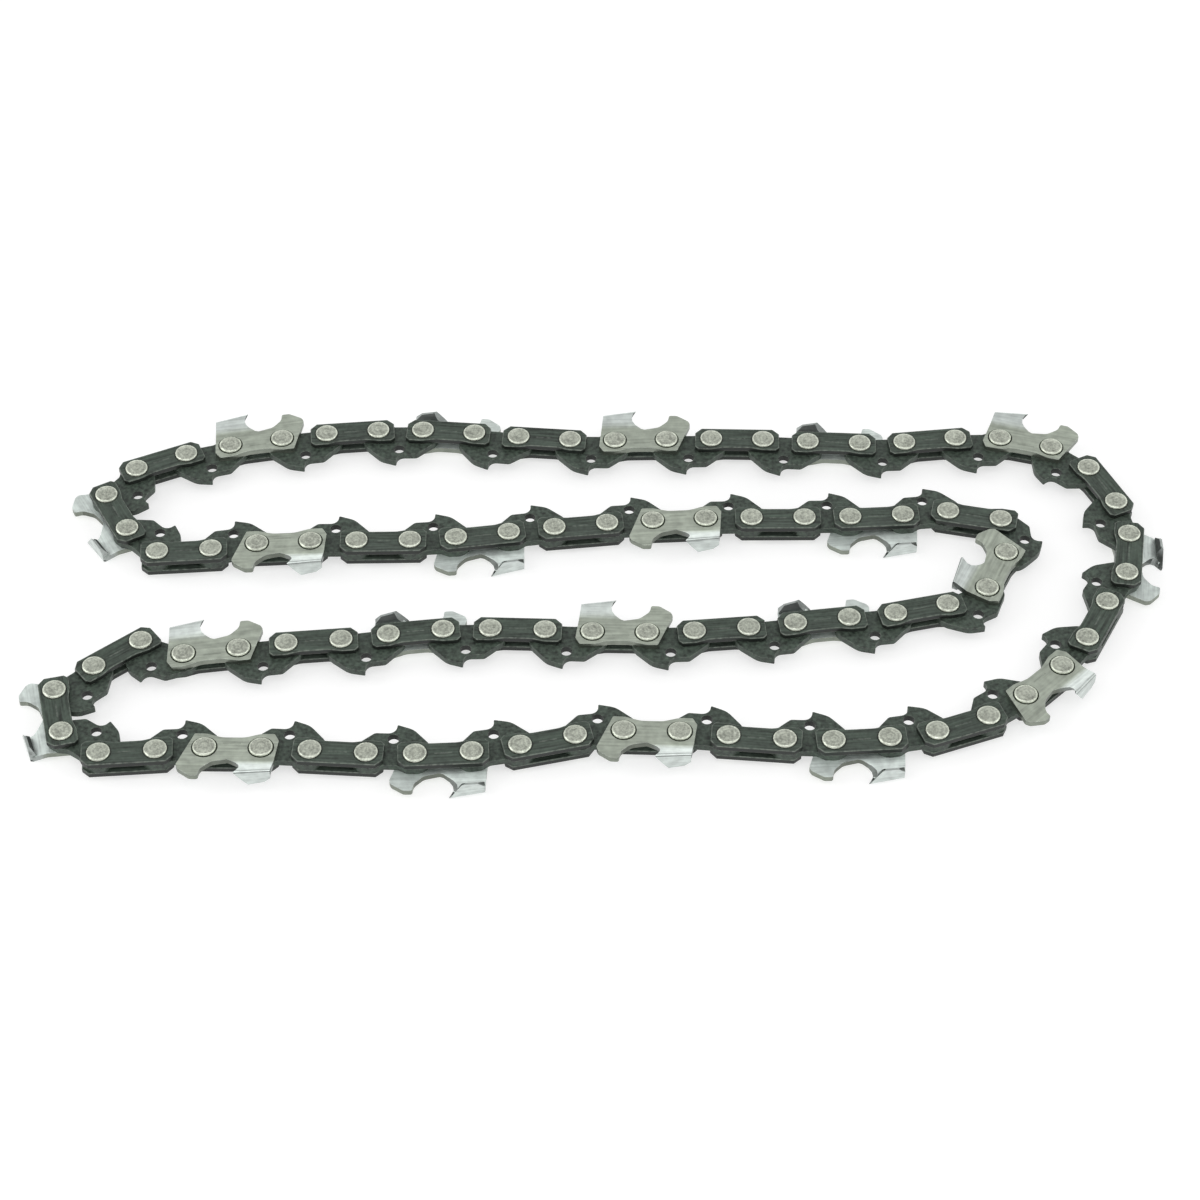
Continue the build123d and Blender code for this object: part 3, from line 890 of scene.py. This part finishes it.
def white_paper(colour, glow):
    """Matt pale paper, lit through: camera and metals see it white, with the chain's shadow on it."""
    material = bpy.data.materials.new("White paper, matt")
    material.use_nodes = True
    tree = material.node_tree
    shader = tree.nodes["Principled BSDF"]
    path = add(tree, "ShaderNodeLightPath").outputs
    mirrored = add(tree, "ShaderNodeMath",
                   {0: path["Is Glossy Ray"], 1: path["Is Transmission Ray"]}, operation="MAXIMUM")
    seen = add(tree, "ShaderNodeMath",
               {0: path["Is Camera Ray"], 1: mirrored.outputs[0]}, operation="MAXIMUM")
    lit = add(tree, "ShaderNodeMath", {0: seen.outputs[0], 1: glow}, operation="MULTIPLY")
    tree.links.new(lit.outputs[0], shader.inputs["Emission Strength"])
    shader.inputs["Emission Color"].default_value = (1, 1, 1, 1)
    shader.inputs["Base Color"].default_value = (*colour, 1)
    shader.inputs["Roughness"].default_value = 0.9
    shader.inputs["Specular IOR Level"].default_value = 0.0
    return material


# Operators

class CHAIN_OT_tie_straps(bpy.types.Operator):
    """Lay the tie straps: a pair on each plain link, and one facing each cutter"""
    bl_idname = "chain.tie_straps"
    bl_label = "Tie straps"

    def execute(self, context):
        sizes, finishes = context.scene.chain_sizes, context.scene.chain_finishes
        material = black_oxide_steel(
            "Black oxide steel, stamped and oiled", finishes.black_oxide, finishes.worn_and_highlit_oxide,
            mottled=0.3, wear_and_highlight_most=0.65)
        wanted = [(link, link.rear, link.front, link.kind != "upper_cutter", link.kind != "lower_cutter")
                  for link in LINKS]
        straps = lay_plates(strap_mesh(sizes), "straps", material, wanted)
        for piece, link in zip(straps, LINKS):
            if link.kind == "tie":
                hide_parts(link.node)
        return {"FINISHED"}


class CHAIN_OT_drive_links(bpy.types.Operator):
    """Lay a drive link from each side link to the next"""
    bl_idname = "chain.drive_links"
    bl_label = "Drive links"

    def execute(self, context):
        sizes, finishes = context.scene.chain_sizes, context.scene.chain_finishes
        # A drive link's edges get more painted highlight than a strap's
        material = black_oxide_steel(
            "Black oxide steel, stamped and tumbled", finishes.black_oxide, finishes.worn_and_highlit_oxide,
            mottled=0.8, wear_and_highlight_most=0.95)
        wanted = [(link, link.front, link.following, True, False) for link in LINKS]
        lay_plates(drive_link_mesh(sizes), "drive_link", material, wanted)
        return {"FINISHED"}


class CHAIN_OT_cutters(bpy.types.Operator):
    """Lay the cutters, on top and underneath in turn"""
    bl_idname = "chain.cutters"
    bl_label = "Cutters"

    def execute(self, context):
        sizes, finishes = context.scene.chain_sizes, context.scene.chain_finishes
        material = cutter_steel(finishes.satin_steel, finishes.polished_steel)
        links = [link for link in LINKS if link.kind != "tie"]
        wanted = [(link, link.rear, link.front, link.kind == "upper_cutter", link.kind == "lower_cutter")
                  for link in links]
        cutters = lay_plates(cutter_mesh(sizes), "cutter", material, wanted)
        for piece, link in zip(cutters, links):
            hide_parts(link.node)
        return {"FINISHED"}


class CHAIN_OT_rivets(bpy.types.Operator):
    """Set two spun rivets in each side link"""
    bl_idname = "chain.rivets"
    bl_label = "Rivets"

    def execute(self, context):
        sizes, finishes = context.scene.chain_sizes, context.scene.chain_finishes
        material = rivet_steel(finishes.rivet_steel)
        plate_face = sizes.gauge / 2 + sizes.plate
        shared = {
            "Head radius": sizes.head_diameter / 2, "Head rise": HEAD_TOP - MIDDLE - plate_face,
            "Fullness": sizes.head_fullness, "Plate face": plate_face, "Sides": sizes.head_sides,
            "Finish": material}
        wanted = {}
        for link in LINKS:
            play = OPEN_PLAY if link is LINKS[0] else 0.0
            wanted[f"{link.body}.rivets"] = {
                **shared, "Shank radius": sizes.shank_diameter / 2 - play,
                "Rear rivet": link.rear, "Front rivet": link.front, "Shade": link.shade}
        for piece, link in zip(lay(rivet_tree(), wanted), LINKS):
            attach(piece, link.body)
        return {"FINISHED"}


# Camera, as it stands over the photographed chain
CAMERA_TARGET = Vector((-0.6, -4.46, 5.3)) * MM
CAMERA_DISTANCE = 0.578
CAMERA_HEIGHT = radians(47.38)
CAMERA_LENS = 94.3
SENSOR_WIDTH = 36.0
CLIP_START = 10 * MM

GROUND_SIZE = 6.0

# The room's walls are white and fade to a dimmer ceiling between two heights, given as sines
WALL_FADE = 0.25, 0.55
WALL_LEVEL, CEILING_LEVEL = 1.25, 0.55

# A corner of it behind the camera is dimmer: how near to the camera's direction, as cosines, and by how much
CORNER_FADE = 0.92, 0.98
CORNER_SHARE = 0.5

# Soft boxes: name, place, width, depth, and how bright their cloth looks beside white paper
SOFT_BOXES = (
    ("soft box above", (0.0, -0.34, 0.76), 0.7, 0.55, 1.2),
    ("soft box left", (-0.85, -0.1, 0.6), 0.7, 0.7, 1.5),
    ("soft box right", (0.85, -0.1, 0.6), 0.7, 0.7, 0.8),
)


class CHAIN_OT_stage(bpy.types.Operator):
    """Set up the white ground, the soft light and the camera"""
    bl_idname = "chain.stage"
    bl_label = "Stage"

    def execute(self, context):
        scene = context.scene
        sheet = bmesh.new()
        bmesh.ops.create_grid(sheet, x_segments=1, y_segments=1, size=GROUND_SIZE / 2)
        mesh = bpy.data.meshes.new("ground")
        sheet.to_mesh(mesh)
        sheet.free()
        mesh.materials.append(white_paper(scene.chain_finishes.ground, scene.chain_finishes.ground_glow))
        ground = bpy.data.objects.new("ground", mesh)
        scene.collection.objects.link(ground)
        back = Vector((0, -cos(CAMERA_HEIGHT), sin(CAMERA_HEIGHT)))
        self.light(scene, back)
        camera = bpy.data.objects.new("camera", bpy.data.cameras.new("camera"))
        camera.data.lens = CAMERA_LENS
        camera.data.sensor_width = SENSOR_WIDTH
        camera.data.sensor_fit = "HORIZONTAL"
        camera.data.clip_start = CLIP_START
        camera.location = CAMERA_TARGET + back * CAMERA_DISTANCE
        camera.rotation_euler = (-back).to_track_quat("-Z", "Y").to_euler()
        scene.collection.objects.link(camera)
        scene.camera = camera
        scene.view_settings.view_transform = "Standard"
        return {"FINISHED"}

    def light(self, scene, to_camera):
        """A pale room with white low walls, a dim corner behind the camera, and three soft boxes."""
        world = bpy.data.worlds.new("pale room")
        world.use_nodes = True
        scene.world = world
        tree = world.node_tree
        direction = add(tree, "ShaderNodeTexCoord").outputs["Generated"]
        height = add(tree, "ShaderNodeSeparateXYZ", {0: direction}).outputs["Z"]
        wall = add(tree, "ShaderNodeMapRange", {
            "Value": height, "From Min": WALL_FADE[0], "From Max": WALL_FADE[1],
            "To Min": WALL_LEVEL, "To Max": CEILING_LEVEL})
        facing = add(tree, "ShaderNodeVectorMath", {0: direction, 1: to_camera}, operation="DOT_PRODUCT")
        corner = add(tree, "ShaderNodeMapRange", {
            "Value": facing.outputs["Value"], "From Min": CORNER_FADE[0], "From Max": CORNER_FADE[1],
            "To Min": 1.0, "To Max": CORNER_SHARE})
        level = add(tree, "ShaderNodeMath", {0: wall.outputs[0], 1: corner.outputs[0]}, operation="MULTIPLY")
        tree.links.new(level.outputs[0], tree.nodes["Background"].inputs["Strength"])
        tree.nodes["Background"].inputs["Color"].default_value = (1, 1, 1, 1)
        for name, place, width, depth, brightness in SOFT_BOXES:
            lamp = bpy.data.lights.new(name, "AREA")
            lamp.shape = "RECTANGLE"
            lamp.size = width
            lamp.size_y = depth
            lamp.energy = brightness * pi * width * depth
            box = bpy.data.objects.new(name, lamp)
            box.location = place
            box.rotation_euler = (-Vector(place)).to_track_quat("-Z", "Y").to_euler()
            scene.collection.objects.link(box)


class CHAIN_PT_panel(bpy.types.Panel):
    """Sizes, colours and steps of the chain"""
    bl_idname = "CHAIN_PT_panel"
    bl_label = "Saw chain"
    bl_space_type = "VIEW_3D"
    bl_region_type = "UI"
    bl_category = "Saw chain"

    def draw(self, context):
        for group in (context.scene.chain_sizes, context.scene.chain_finishes):
            for name in group.__annotations__:
                self.layout.prop(group, name)
        for step in STEPS:
            self.layout.operator(step.bl_idname)


STEPS = (CHAIN_OT_tie_straps, CHAIN_OT_drive_links, CHAIN_OT_cutters, CHAIN_OT_rivets, CHAIN_OT_stage)
CLASSES = (ChainSizes, ChainFinishes, *STEPS, CHAIN_PT_panel)


def register():
    for cls in CLASSES:
        bpy.utils.register_class(cls)
    bpy.types.Scene.chain_sizes = PointerProperty(type=ChainSizes)
    bpy.types.Scene.chain_finishes = PointerProperty(type=ChainFinishes)


def unregister():
    del bpy.types.Scene.chain_finishes
    del bpy.types.Scene.chain_sizes
    for cls in reversed(CLASSES):
        bpy.utils.unregister_class(cls)


def main():
    register()
    bpy.ops.chain.tie_straps()
    bpy.ops.chain.drive_links()
    bpy.ops.chain.cutters()
    bpy.ops.chain.rivets()
    bpy.ops.chain.stage()


if __name__ == "__main__":
    main()
